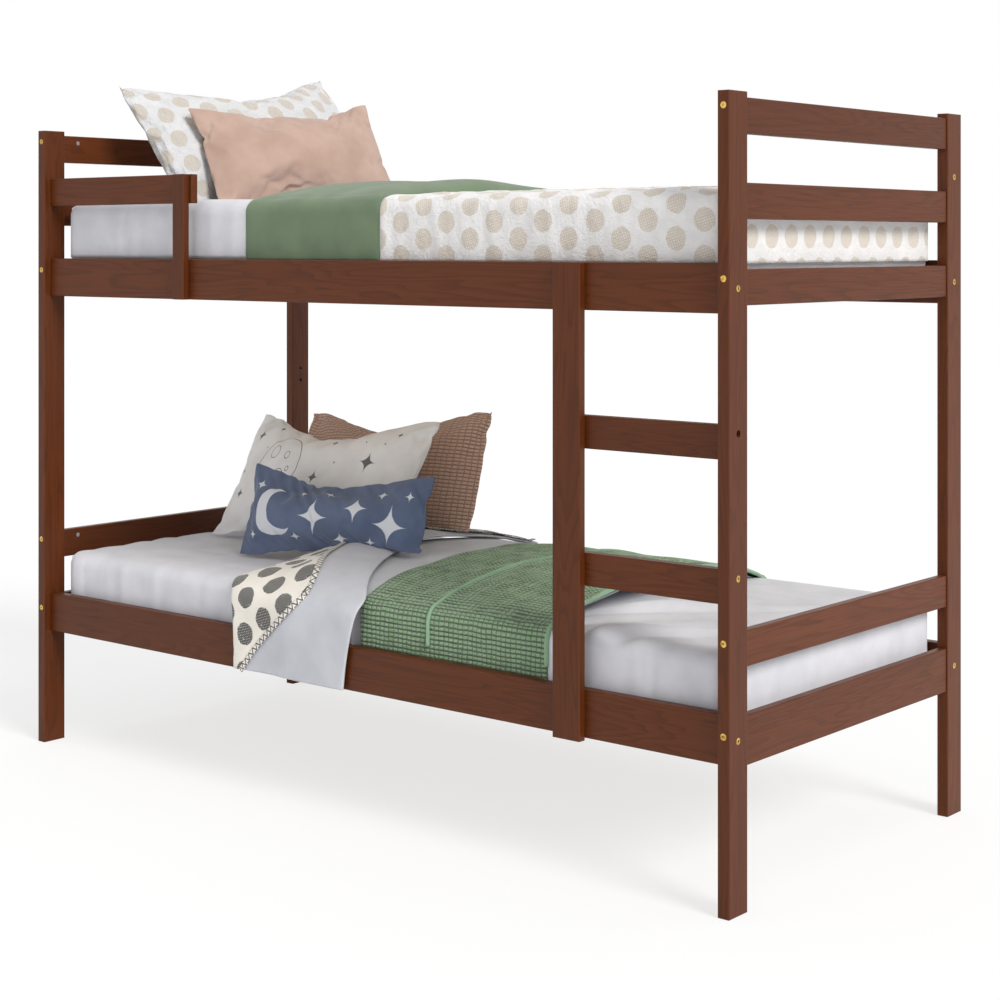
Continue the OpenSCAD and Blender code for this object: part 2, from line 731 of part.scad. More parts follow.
front_left_post();
front_right_post();
back_left_post();
back_right_post();
upper_front_side_rail();
upper_back_side_rail();
lower_front_side_rail();
lower_back_side_rail();
head_top_board();
head_middle_board();
head_upper_rail();
head_lower_guard();
head_lower_rail();
foot_top_board();
foot_middle_board();
foot_upper_rail();
foot_lower_guard();
foot_lower_rail();
ladder_upright();
upper_rung();
lower_rung();
guard_board();
guard_slat();
upper_front_ledger();
upper_back_ledger();
lower_front_ledger();
lower_back_ledger();
upper_slats();
lower_slats();
end_bolts();
side_rail_bolts();
rung_bolts();
guard_bolts();
end_barrel_nuts();
side_barrel_nuts();
end_dowels();
side_dowels();
ladder_screws();
guard_screws();
ledger_screws();
slat_screws();
upper_mattress();
upper_fitted_sheet();
upper_duvet();
lower_mattress();
lower_fitted_sheet();
lower_duvet();
green_throw();
dotted_pillow();
peach_cushion();
waffle_pillow();
moon_pillow();
navy_cushion();
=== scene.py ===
# %% [markdown]
# # A bunk bed with two made-up berths
# The bed is a slim frame of stained pine boards, bolted at the posts, with a two-rung ladder built into its
# front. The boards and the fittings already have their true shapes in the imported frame, so they only get
# finishes here. Everything soft, which is the sheets, quilts, throw and pillows, is modelled in this file.

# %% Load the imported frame
import bmesh
import bpy
import math
import numpy as np
from mathutils import Matrix, Vector


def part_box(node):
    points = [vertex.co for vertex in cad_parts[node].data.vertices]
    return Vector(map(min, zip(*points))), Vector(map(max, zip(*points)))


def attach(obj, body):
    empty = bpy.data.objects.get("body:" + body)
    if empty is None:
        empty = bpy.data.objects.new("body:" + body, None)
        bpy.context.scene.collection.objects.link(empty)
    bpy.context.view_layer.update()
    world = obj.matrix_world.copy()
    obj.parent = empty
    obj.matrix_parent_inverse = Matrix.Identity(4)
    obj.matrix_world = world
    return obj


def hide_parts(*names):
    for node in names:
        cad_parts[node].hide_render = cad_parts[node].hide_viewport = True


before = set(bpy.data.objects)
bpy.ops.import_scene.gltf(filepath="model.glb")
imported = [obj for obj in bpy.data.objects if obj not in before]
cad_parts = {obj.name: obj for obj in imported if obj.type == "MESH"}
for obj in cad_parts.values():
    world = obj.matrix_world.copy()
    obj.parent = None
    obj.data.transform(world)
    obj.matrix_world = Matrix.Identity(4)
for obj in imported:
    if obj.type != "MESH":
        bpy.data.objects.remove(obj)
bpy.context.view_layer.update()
MM = 0.001

# %% [markdown]
# ## The view
# The bed is seen from the foot end, a little below the upper berth, with a level camera so that the posts stay
# upright. A level camera looks over the middle of the bed, so its lens is shifted down to frame it.

# %% Camera
view_data = bpy.data.cameras.new("view")
view_data.lens = 71.16
view_data.sensor_width = 36.0
view_data.shift_y = -0.2549
view_data.clip_end = 60.0
camera = bpy.data.objects.new("view", view_data)
camera.location = (2.9008, -3.3579, 1.1866)
camera.rotation_euler = (math.radians(90), 0, math.radians(39.927))
bpy.context.scene.collection.objects.link(camera)
bpy.context.scene.camera = camera

# %% [markdown]
# ## Light and floor
# One broad lamp stands at the foot end and lights the ends of the bed and the tops of the bedding, while the
# long front stays in softer light. The world fills the shadows. Only what the camera sees directly, or in a
# gloss, is the white backdrop.

# %% World, lamps and floor
FILL = 0.40
world = bpy.data.worlds.new("studio")
bpy.context.scene.world = world
world.use_nodes = True
nodes, links = world.node_tree.nodes, world.node_tree.links
nodes.clear()
seen = nodes.new("ShaderNodeLightPath")
either = nodes.new("ShaderNodeMath")
either.operation = "MAXIMUM"
links.new(seen.outputs["Is Camera Ray"], either.inputs[0])
links.new(seen.outputs["Is Glossy Ray"], either.inputs[1])
level = nodes.new("ShaderNodeMapRange")
level.inputs["To Min"].default_value = FILL
level.inputs["To Max"].default_value = 1.0
links.new(either.outputs[0], level.inputs["Value"])
sky = nodes.new("ShaderNodeBackground")
sky.inputs["Color"].default_value = (1, 1, 1, 1)
links.new(level.outputs[0], sky.inputs["Strength"])
links.new(sky.outputs[0], nodes.new("ShaderNodeOutputWorld").inputs[0])


def sun(name, towards, strength, angle, colour=(1, 1, 1)):
    data = bpy.data.lights.new(name, "SUN")
    data.energy = strength
    data.angle = math.radians(angle)
    data.color = colour
    lamp = bpy.data.objects.new(name, data)
    lamp.rotation_euler = Vector(towards).to_track_quat("-Z", "Y").to_euler()
    bpy.context.scene.collection.objects.link(lamp)
    return lamp


sun("key", (-0.80, 0.16, -0.58), 2.9, 24, (1.0, 0.985, 0.96))
sun("top", (-0.05, -0.10, -1.0), 0.7, 60)
sun("front", (-0.12, 0.85, -0.30), 0.6, 80)

floor_mesh = bpy.data.meshes.new("floor")
shape = bmesh.new()
bmesh.ops.create_grid(shape, x_segments=1, y_segments=1, size=14)
shape.to_mesh(floor_mesh)
shape.free()
floor = bpy.data.objects.new("floor", floor_mesh)
bpy.context.scene.collection.objects.link(floor)

# %% [markdown]
# ## Shorthand for shaders
# A finish is a sum of patterns, so it is easiest to read as arithmetic. A Wire holds one output of a node, and
# its operators add the Math nodes. A Finish holds one material and adds every other node.


# %% Wire and Finish
class Wire:
    """One value in a material, which Python's operators can work on."""

    def __init__(self, finish, socket):
        self.finish = finish
        self.socket = socket

    def maths(self, operation, *values):
        return self.finish.add("ShaderNodeMath", dict(enumerate(values)), operation=operation)

    def __add__(self, other):
        return self.maths("ADD", self, other)

    def __sub__(self, other):
        return self.maths("SUBTRACT", self, other)

    def __rsub__(self, other):
        return self.maths("SUBTRACT", other, self)

    def __mul__(self, other):
        return self.maths("MULTIPLY", self, other)

    def __truediv__(self, other):
        return self.maths("DIVIDE", self, other)

    def __pow__(self, other):
        return self.maths("POWER", self, other)

    def __lt__(self, other):
        return self.maths("LESS_THAN", self, other)

    def __gt__(self, other):
        return self.maths("GREATER_THAN", self, other)

    def absolute(self):
        return self.maths("ABSOLUTE", self)

    def fraction(self):
        return self.maths("FRACT", self)

    def floor(self):
        return self.maths("FLOOR", self)

    def sine(self):
        return self.maths("SINE", self)

    def least(self, other):
        return self.maths("MINIMUM", self, other)

    def most(self, other):
        return self.maths("MAXIMUM", self, other)

    def ramp(self, low, high, to_low=0.0, to_high=1.0):
        """Runs smoothly from to_low, where the value is low, to to_high, where it is high."""
        sockets = {"Value": self, "From Min": low, "From Max": high, "To Min": to_low, "To Max": to_high}
        return self.finish.add("ShaderNodeMapRange", sockets, interpolation_type="SMOOTHSTEP")

    __radd__ = __add__
    __rmul__ = __mul__


class Finish:
    """One material, built from its Principled shader backwards."""

    def __init__(self, name, roughness=0.8, **sockets):
        self.material = bpy.data.materials.new(name)
        self.material.use_nodes = True
        self.tree = self.material.node_tree
        self.shader = self.tree.nodes["Principled BSDF"]
        self.shader.inputs["Roughness"].default_value = roughness
        for socket, value in sockets.items():
            self.shader.inputs[socket.replace("_", " ")].default_value = value

    def add(self, kind, sockets=None, out=0, **settings):
        node = self.tree.nodes.new(kind)
        for name, value in settings.items():
            setattr(node, name, value)
        for name, value in (sockets or {}).items():
            if isinstance(value, Wire):
                self.tree.links.new(value.socket, node.inputs[name])
            else:
                node.inputs[name].default_value = value
        return Wire(self, node.outputs[out])

    def place(self, kind="Object", scale=(1, 1, 1), turn=(0, 0, 0), shift=(0, 0, 0)):
        """Coordinates of a piece: Object, or UV where a pattern follows the cloth, in metres."""
        source = self.add("ShaderNodeTexCoord", out=kind)
        sockets = {"Vector": source, "Scale": scale, "Rotation": turn, "Location": shift}
        return self.add("ShaderNodeMapping", sockets)

    def axes(self, vector):
        node = self.add("ShaderNodeSeparateXYZ", {0: vector}).socket.node
        return [Wire(self, node.outputs[i]) for i in range(3)]

    def noise(self, vector, scale, detail=3.0, roughness=0.55, distortion=0.0):
        sockets = {"Vector": vector, "Scale": scale, "Detail": detail, "Roughness": roughness,
                   "Distortion": distortion}
        return self.add("ShaderNodeTexNoise", sockets)

    def mix(self, factor, first, second):
        """Mixes two colours, each a Wire or a list of red, green and blue."""
        colours = [c if isinstance(c, Wire) else (*c, 1) for c in (first, second)]
        sockets = {0: factor, 6: colours[0], 7: colours[1]}
        return self.add("ShaderNodeMix", sockets, out=2, data_type="RGBA")

    def use(self, socket, wire):
        self.tree.links.new(wire.socket, self.shader.inputs[socket])

    def bump(self, height, depth, strength=1.0):
        """Raises the surface by height times depth, in metres."""
        sockets = {"Height": height, "Distance": depth, "Strength": strength}
        self.use("Normal", self.add("ShaderNodeBump", sockets))


def shade_of(hex_code):
    """A colour as it looks on screen, turned into the linear values that shaders use."""
    parts = [int(hex_code[i:i + 2], 16) / 255 for i in (0, 2, 4)]
    return [p / 12.92 if p < 0.04045 else ((p + 0.055) / 1.055) ** 2.4 for p in parts]


floor_finish = Finish("pale_floor", 0.9)
floor_finish.shader.inputs["Base Color"].default_value = (0.93, 0.935, 0.94, 1)
shine = floor_finish.add("ShaderNodeEmission", {"Color": (1, 1, 1, 1), "Strength": 0.97})
camera_ray = floor_finish.add("ShaderNodeLightPath", out="Is Camera Ray")
blend = floor_finish.add("ShaderNodeMixShader", {0: camera_ray * 0.72, 1: Wire(floor_finish,
                         floor_finish.shader.outputs[0]), 2: shine})
floor_finish.tree.links.new(blend.socket, floor_finish.tree.nodes["Material Output"].inputs[0])
floor.data.materials.append(floor_finish.material)

# %% [markdown]
# ## Stained pine
# The boards are pine with a red-brown stain and a satin varnish. Pine grain is a stack of year rings cut
# lengthwise: long streaks, dark where the ring ends and soft where it begins, with finer fibres over them. A
# noise that is stretched along the board gives the streaks, and its fraction gives the sharp edge of each
# ring. The three finishes differ only in the way the board runs.


# %% Pine finishes
def pine(name, along):
    finish = Finish(name, 0.46, Coat_Weight=0.03, Coat_Roughness=0.3, Specular_IOR_Level=0.2)
    stretched = [0.55, 0.55, 0.55]
    stretched[along] = 0.035
    fine = [1.0, 1.0, 1.0]
    fine[along] = 0.02
    ring_place = finish.place(scale=stretched)
    growth = finish.noise(ring_place, 34, 2.0, 0.45, 0.5)
    rings = (growth * 15).fraction()
    ring_edge = rings.ramp(0.35, 0.97) * rings.ramp(1.0, 0.97)
    fibre = finish.noise(finish.place(scale=fine), 520, 3.0, 0.6)
    broad = finish.noise(finish.place(scale=stretched), 6, 2.0, 0.5)
    stain = finish.mix(broad.ramp(0.3, 0.7), shade_of("4F250B"), shade_of("5B2C0F"))
    ringed = finish.mix(ring_edge * 0.42, stain, shade_of("391906"))
    finish.use("Base Color", finish.mix(fibre.ramp(0.52, 0.72) * 0.35, ringed, shade_of("3C1B08")))
    finish.use("Roughness", fibre.ramp(0.3, 0.7, 0.36, 0.5))
    finish.bump(fibre * 0.5 - ring_edge * 0.5, 0.00022, 0.6)
    return finish.material


PINE = [pine(f"stained_pine_{'xyz'[i]}", i) for i in range(3)]


def give(material, *names):
    for name in names:
        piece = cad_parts[name]
        piece.data.materials.clear()
        piece.data.materials.append(material)


give(PINE[2], "front_left_post", "front_right_post", "back_left_post", "back_right_post", "ladder_upright",
     "guard_slat")
give(PINE[0], "upper_front_side_rail", "upper_back_side_rail", "lower_front_side_rail",
     "lower_back_side_rail", "guard_board", "upper_rung", "lower_rung", "upper_front_ledger",
     "upper_back_ledger", "lower_front_ledger", "lower_back_ledger")
give(PINE[1], *[f"{end}_{board}" for end in ("head", "foot")
                for board in ("top_board", "middle_board", "upper_rail", "lower_guard", "lower_rail")])

# %% [markdown]
# ## Slats, dowels and fittings
# The slats and dowels are bare birch. The bolts have a yellow plated finish, a little uneven and scuffed, and
# the hidden nuts and screws are zinc plated.


# %% Birch, brass and zinc
def bare_birch():
    finish = Finish("bare_birch", 0.7)
    streaks = finish.noise(finish.place(scale=(1, 0.04, 1)), 210, 4.0, 0.6)
    pale = finish.mix(streaks.ramp(0.35, 0.7), shade_of("DCC39A"), shade_of("C6A678"))
    finish.use("Base Color", pale)
    finish.bump(streaks, 0.0002, 0.5)
    return finish.material


def plated(name, light, dark, roughness):
    finish = Finish(name, roughness, Metallic=1.0)
    cloud = finish.noise(finish.place(), 160, 3.0)
    finish.use("Base Color", finish.mix(cloud.ramp(0.4, 0.7), shade_of(light), shade_of(dark)))
    finish.use("Roughness", cloud.ramp(0.3, 0.7, roughness, roughness + 0.14))
    finish.bump(finish.noise(finish.place(), 900, 2.0), 0.00005)
    return finish.material


BIRCH = bare_birch()
BRASS = plated("yellow_plate", "D8B464", "9E7A35", 0.3)
ZINC = plated("zinc_plate", "C9CCD0", "A3A7AD", 0.34)
give(BIRCH, "upper_slats", "lower_slats", "end_dowels", "side_dowels")
give(BRASS, "end_bolts", "side_rail_bolts", "rung_bolts", "guard_bolts")
give(ZINC, "end_barrel_nuts", "side_barrel_nuts", "ladder_screws", "guard_screws", "ledger_screws",
     "slat_screws")


# %% [markdown]
# ## Cloth finishes
# Every cloth is a weave of threads about half a millimetre wide, with slow changes of tone. The weave and the
# prints follow the cloth's own UV map, whose unit is a metre of flat cloth, so a dot stays a dot over a fold.


# %% Plain cloth and its weave
def weave(finish, where, threads=1700.0):
    u, v, _ = finish.axes(where)
    return (u * threads).sine() * (v * threads).sine()


def plain_cloth(name, light, dark, crumple=0.0, sheen=0.25, kind="UV"):
    finish = Finish(name, 0.86, Sheen_Weight=sheen, Sheen_Roughness=0.5, Specular_IOR_Level=0.25)
    where = finish.place(kind)
    cloud = finish.noise(where, 11, 3.0)
    slubs = finish.noise(finish.place(kind, (1, 0.06, 1)), 700, 2.0)
    tone = finish.mix(cloud.ramp(0.3, 0.72), shade_of(light), shade_of(dark))
    finish.use("Base Color", finish.mix(slubs.ramp(0.5, 0.8) * 0.3, tone, shade_of(dark)))
    crease = finish.noise(where, 34, 3.0, 0.6, 0.8)
    finish.bump(weave(finish, where) * 0.06 + slubs * 0.12 + crease * crumple, 0.0012, 0.8)
    return finish


SHEET = plain_cloth("grey_white_sheet", "CFCFD5", "C3C4CA", 0.35, kind="Object").material
GREY = plain_cloth("light_grey_duvet", "BEC0C6", "B2B4BC", 0.3).material
SAGE = plain_cloth("sage_quilt_back", "67795E", "5D6F56", 0.35).material
PEACH = plain_cloth("peach_linen", "AF9588", "A1877A", 0.5).material
TICKING = plain_cloth("mattress_ticking", "DDDEE2", "CBCDD3", 0.2, kind="Object").material
MINT = plain_cloth("mint_piping", "88A88A", "789A7B", 0.1).material
give(TICKING, "upper_mattress", "lower_mattress")


# %% [markdown]
# ## Dotted cotton
# The quilt and one pillow have beige dots on crinkled white cotton, and the grey duvet's reverse has larger
# black ones. Each dot is filled with crossed strokes, as if hatched by hand. The dots stand in staggered
# columns: every other column is shifted by half a step.


# %% Dotted cloth
def dotted_cloth(name, ground, dot, step, radius, strokes, gap, crumple):
    finish = Finish(name, 0.88, Sheen_Weight=0.2, Specular_IOR_Level=0.22)
    where = finish.place("UV")
    u, v, _ = finish.axes(where)
    column = (u / step[0]).floor()
    odd = (column * 0.5).fraction() * 2
    across = ((u / step[0]).fraction() - 0.5) * step[0]
    down = ((v / step[1] + odd * 0.5).fraction() - 0.5) * step[1]
    wobble = finish.noise(where, 90, 2.0) * 0.006 - 0.003
    distance = (across * across + down * down) ** 0.5 + wobble
    inside = distance.ramp(radius + 0.0007, radius - 0.0007)
    ragged = finish.noise(where, 160, 3.0, 0.7)
    one_way = ((u + v * 0.35 + ragged * 0.004) * strokes).sine()
    other_way = ((v - u * 0.3 + ragged * 0.004) * strokes).sine()
    hatch = one_way.ramp(gap - 0.3, gap + 0.3).most(other_way.ramp(gap - 0.3, gap + 0.3)) * ragged.ramp(0.22, 0.42)
    cloud = finish.noise(where, 13, 3.0)
    threads = finish.noise(finish.place("UV", (0.05, 1, 1)), 420, 2.0)
    base = finish.mix(cloud.ramp(0.3, 0.7), shade_of(ground), [c * 0.9 for c in shade_of(ground)])
    base = finish.mix(threads.ramp(0.55, 0.75) * 0.25, base, [c * 0.78 for c in shade_of(ground)])
    finish.use("Base Color", finish.mix(inside * hatch * 0.9, base, shade_of(dot)))
    crinkle = finish.noise(where, 75, 4.0, 0.62, 1.2)
    finish.bump(crinkle * crumple + weave(finish, where, 1500) * 0.06 + threads * 0.2, 0.0016, 0.9)
    return finish.material


DOTTED = dotted_cloth("beige_dots_on_white", "E4E3E3", "C6BBAD", (0.062, 0.068), 0.0225, 1150, -0.35, 2.2)
# painted shade: the pillow's copy of the quilt's dotted cotton has both its colours about a tenth darker
DOTTED_PILLOW_SHADED = dotted_cloth("beige_dots_on_crinkle_painted_shade", "CBCBCD", "B3A99C", (0.062, 0.068), 0.0225, 1150, -0.25, 3.2)
DOTTED_BLACK = dotted_cloth("black_dots_on_cream", "E6E1D8", "1E1F23", (0.058, 0.078), 0.024, 1150, -0.65, 0.9)

# %% [markdown]
# ## Line prints
# The white pillow has a thin ink drawing of a full moon with craters among small stars, and the navy cushion
# has a crescent and stars in white. Each mark is a distance from a point: a ring is where the distance is near
# its radius, and a four-pointed star is where the sum of the two square roots is small.


# %% Rings, stars and the two printed cloths
def ring(u, v, centre, radius, width):
    across, up = u - centre[0], v - centre[1]
    distance = (across * across + up * up) ** 0.5
    return (distance - radius).absolute().ramp(width, width * 0.55)


def disc(u, v, centre, radius):
    across, up = u - centre[0], v - centre[1]
    return ((across * across + up * up) ** 0.5).ramp(radius + 0.0006, radius - 0.0006)


def star(u, v, centre, size):
    across, up = (u - centre[0]).absolute() / size, (v - centre[1]).absolute() / size
    return (across ** 0.5 + up ** 0.5).ramp(1.04, 0.96)


def moon_print():
    finish = plain_cloth("white_cotton_moon_print", "F4F3F2", "E8E7E7", 0.5)
    where = finish.place("UV")
    shaky = finish.noise(where, 45, 2.0) * 0.003 - 0.0015
    u, v, _ = finish.axes(where)
    u, v = u + shaky, v + shaky
    moon = (-0.115, 0.01)
    marks = ring(u, v, moon, 0.082, 0.0016)
    for crater in ((-0.145, 0.045, 0.016), (-0.09, 0.035, 0.009), (-0.10, -0.02, 0.020), (-0.15, -0.015, 0.007),
                   (-0.07, 0.0, 0.006), (-0.125, -0.05, 0.010)):
        marks = marks.most(ring(u, v, crater[:2], crater[2], 0.0012))
    for x, y, size in ((-0.27, 0.10, 0.022), (-0.20, 0.125, 0.013), (-0.03, 0.115, 0.026), (0.06, 0.075, 0.015),
                       (0.04, -0.02, 0.020), (0.13, 0.12, 0.018), (0.19, 0.03, 0.028), (0.25, 0.11, 0.012),
                       (-0.24, -0.06, 0.018), (0.12, -0.06, 0.014), (-0.27, 0.0, 0.010), (0.27, -0.05, 0.016)):
        marks = marks.most(star(u, v, (x, y), size))
    for x, y in ((-0.05, 0.07), (0.09, 0.02), (0.0, -0.07), (0.22, 0.08), (-0.2, 0.06), (-0.29, 0.05), (0.16, 0.08)):
        marks = marks.most(disc(u, v, (x, y), 0.0022))
    plain = finish.shader.inputs["Base Color"].links[0].from_socket
    finish.use("Base Color", finish.mix(marks * 0.85, Wire(finish, plain), shade_of("2E3036")))
    return finish.material


def crescent_print():
    finish = plain_cloth("navy_cotton_star_print", "5F6C88", "525E78", 0.8)
    where = finish.place("UV")
    shaky = finish.noise(where, 40, 2.0) * 0.004 - 0.002
    u, v, _ = finish.axes(where)
    u, v = u + shaky, v + shaky
    crescent = (disc(u, v, (-0.155, 0.0), 0.062) - disc(u, v, (-0.128, 0.012), 0.052)).most(0)
    marks = crescent
    for x, y, size in ((-0.03, -0.005, 0.052), (0.09, 0.02, 0.036), (0.185, -0.012, 0.048), (0.0, 0.07, 0.020),
                       (0.05, -0.062, 0.024), (0.135, -0.06, 0.016), (0.15, 0.068, 0.018), (-0.075, 0.055, 0.015),
                       (-0.09, -0.06, 0.018), (0.225, 0.055, 0.014), (-0.225, 0.06, 0.018), (-0.225, -0.055, 0.014)):
        marks = marks.most(star(u, v, (x, y), size))
    plain = finish.shader.inputs["Base Color"].links[0].from_socket
    finish.use("Base Color", finish.mix(marks * 0.92, Wire(finish, plain), shade_of("DADDE2")))
    return finish.material


MOON = moon_print()
NAVY = crescent_print()


# %% [markdown]
# ## Puckered cloth
# The green throw and the rose pillow are stitched in rows, and the cloth puckers into small cells between the
# stitches. The cells are real geometry on the throw. This finish adds what is finer: threads, a bump that
# deepens the stitched grooves, and painted shade, a darker colour in those grooves, which it finds from the
# same cell size.


# %% Puckered finishes
def puckered_cloth(name, light, dark, groove_shade, cell, sheen=0.3):
    finish = Finish(name, 0.9, Sheen_Weight=sheen, Specular_IOR_Level=0.2)
    where = finish.place("UV")
    sway = finish.noise(where, 22, 2.0) * 0.010 - 0.005
    u, v, _ = finish.axes(where)
    rows = (((v + sway * 0.5) / cell[1]).fraction() - 0.5).absolute() * 2
    columns = (((u + sway) / cell[0]).fraction() - 0.5).absolute() * 2
    valley = rows.ramp(0.38, 0.95).most(columns.ramp(0.58, 1.0) * 0.75)
    threads = finish.noise(finish.place("UV", (1, 0.15, 1)), 900, 2.0)
    tone = finish.mix(threads.ramp(0.3, 0.7), shade_of(light), shade_of(dark))
    # painted shade: the stitched grooves get a darker colour, standing in for the shade that falls between the puffed
    # cells
    finish.use("Base Color", finish.mix(valley * 0.8, tone, shade_of(groove_shade)))
    finish.bump(threads * 0.3 - valley, 0.0035, 0.9)
    return finish.material


THROW_CELL = (0.0125, 0.0095)
ROSE_CELL = (0.017, 0.0085)
# The third colour of each is painted shade for the stitched grooves.
THROW = puckered_cloth("green_puckered_throw", "8FAB88", "7C9875", "273822", THROW_CELL)
ROSE = puckered_cloth("rose_puckered_cotton", "EDCCBA", "E0BAA6", "A67C69", ROSE_CELL)

# %% [markdown]
# ## Helpers for cloth meshes
# Each cloth starts as a flat bmesh grid whose points carry their flat places as UV, in metres. A place
# function then says where each point lies on the bed. Folds and crinkles are sums of sine waves whose
# directions and lengths are drawn from a seeded generator, so each run gives the same cloth.


# %% Grid, ripples and mesh clean-up
def ripple(x, y, size, seed, heading=None, spread=math.pi, waves=9):
    """Smooth irregular waves from -1 to 1 or so, about size long, all round or along one heading."""
    draw = np.random.default_rng(seed)
    total = np.zeros_like(x)
    for _ in range(waves):
        angle = draw.uniform(-spread, spread) + (heading or 0.0)
        rate = 2 * math.pi / (size * draw.uniform(0.6, 1.7))
        total += np.sin(rate * (x * math.cos(angle) + y * math.sin(angle)) + draw.uniform(0, 6.28))
    return total / math.sqrt(waves)


def smooth(value, low, high):
    part = np.clip((value - low) / (high - low), 0, 1)
    return part * part * (3 - 2 * part)


def points_of(mesh):
    points = np.empty(len(mesh.vertices) * 3)
    mesh.vertices.foreach_get("co", points)
    return points.reshape(-1, 3)


def set_points(mesh, points):
    mesh.vertices.foreach_set("co", np.ascontiguousarray(points, dtype=np.float32).ravel())
    mesh.update()


def set_flat_map(mesh, flat):
    """Writes each point's flat place as the mesh's UV map."""
    layer = mesh.uv_layers.new(name="flat")
    corners = np.empty(len(mesh.loops), dtype=np.int32)
    mesh.loops.foreach_get("vertex_index", corners)
    layer.data.foreach_set("uv", np.ascontiguousarray(flat[corners], dtype=np.float32).ravel())


def finish_piece(name, shape, material, smooth_shaded=True):
    mesh = bpy.data.meshes.new(name)
    shape.to_mesh(mesh)
    shape.free()
    for face in mesh.polygons:
        face.use_smooth = smooth_shaded
    mesh.materials.append(material)
    piece = bpy.data.objects.new(name, mesh)
    bpy.context.scene.collection.objects.link(piece)
    return piece


def cloth_grid(name, columns, rows, place, material):
    """A sheet of cloth. place turns two arrays from 0 to 1 into points and their flat places."""
    shape = bmesh.new()
    bmesh.ops.create_grid(shape, x_segments=columns, y_segments=rows, size=0.5)
    piece = finish_piece(name, shape, material)
    unit = points_of(piece.data) + 0.5
    points, flat = place(unit[:, 0], unit[:, 1])
    set_points(piece.data, points)
    set_flat_map(piece.data, flat)
    return piece


def thicken(piece, thickness, offset=1.0, levels=0):
    solid = piece.modifiers.new("thickness", "SOLIDIFY")
    solid.thickness = thickness
    solid.offset = offset
    solid.use_even_offset = False
    if levels:
        rounder = piece.modifiers.new("rounding", "SUBSURF")
        rounder.levels = levels
        rounder.render_levels = levels


# %% [markdown]
# ## Covers that wrap a mattress
# A fitted sheet or a tucked quilt is flat on top, turns over a rounded edge and runs down the sides. The
# cover starts as a flat grid, its rim is extruded down in short steps, and every point is then pushed on to a
# box with round edges. Crowns and wrinkles move the points along that box's own normal.


# %% Wrapped covers
def wrapped_cover(name, low, high, drop, radius, cell, lift, material, open_ends=()):
    """low and high are the corners of the flat top, whose z is the same. lift moves points outwards."""
    shape = bmesh.new()
    size = [high[0] - low[0], high[1] - low[1]]
    bmesh.ops.create_grid(shape, x_segments=round(size[0] / cell), y_segments=round(size[1] / cell), size=0.5)
    bmesh.ops.scale(shape, vec=(size[0], size[1], 1), verts=shape.verts)
    middle = [(low[0] + high[0]) / 2, (low[1] + high[1]) / 2, high[2]]
    bmesh.ops.translate(shape, vec=middle, verts=shape.verts)
    rim = [e for e in shape.edges if e.is_boundary and not (
        ("head" in open_ends and all(v.co.x < low[0] + cell * 0.1 for v in e.verts))
        or ("foot" in open_ends and all(v.co.x > high[0] - cell * 0.1 for v in e.verts)))]
    for _ in range(round(drop / cell)):
        grown = bmesh.ops.extrude_edge_only(shape, edges=rim)["geom"]
        bmesh.ops.translate(shape, vec=(0, 0, -cell), verts=[v for v in grown if isinstance(v, bmesh.types.BMVert)])
        rim = [e for e in grown if isinstance(e, bmesh.types.BMEdge) and e.is_boundary
               and abs(e.verts[0].co.z - e.verts[1].co.z) < cell * 0.1
               and e.verts[0].co.z < high[2] - cell * 0.5]
        lowest = min(e.verts[0].co.z for e in rim)
        rim = [e for e in rim if e.verts[0].co.z < lowest + cell * 0.1]
    bmesh.ops.recalc_face_normals(shape, faces=shape.faces)
    piece = finish_piece(name, shape, material)
    sharp = points_of(piece.data)
    fallen = high[2] - sharp[:, 2]
    flat = sharp[:, :2].copy()
    on_side = np.abs(sharp[:, 1]) > high[1] - 1e-4
    flat[on_side, 1] += np.sign(sharp[on_side, 1]) * fallen[on_side]
    on_foot = sharp[:, 0] > high[0] - 1e-4
    flat[on_foot, 0] += fallen[on_foot]
    on_head = sharp[:, 0] < low[0] + 1e-4
    flat[on_head, 0] -= fallen[on_head]
    inner = sharp.copy()
    ends = [low[0] if "head" in open_ends else low[0] + radius,
            high[0] if "foot" in open_ends else high[0] - radius]
    inner[:, 0] = np.clip(sharp[:, 0], *ends)
    inner[:, 1] = np.clip(sharp[:, 1], low[1] + radius, high[1] - radius)
    inner[:, 2] = np.minimum(sharp[:, 2], high[2] - radius)
    out = sharp - inner
    out /= np.maximum(np.linalg.norm(out, axis=1, keepdims=True), 1e-9)
    points = inner + radius * out
    points += out * lift(points, out)[:, None]
    set_points(piece.data, points)
    set_flat_map(piece.data, flat)
    return piece


def crown(y, half, power=0.8):
    """Rise of stuffed bedding across the bed, 1 in the middle and 0 at the edges."""
    return np.maximum(1 - (y / half) ** 2, 0) ** power


# %% [markdown]
# ## Fitted sheets
# A fitted sheet is pulled tight by its elastic hem. On the sides it shows soft upright pulls, and on top it
# shows long shallow wrinkles. The lower one was sat on near the foot, and its wrinkles there run slantwise.


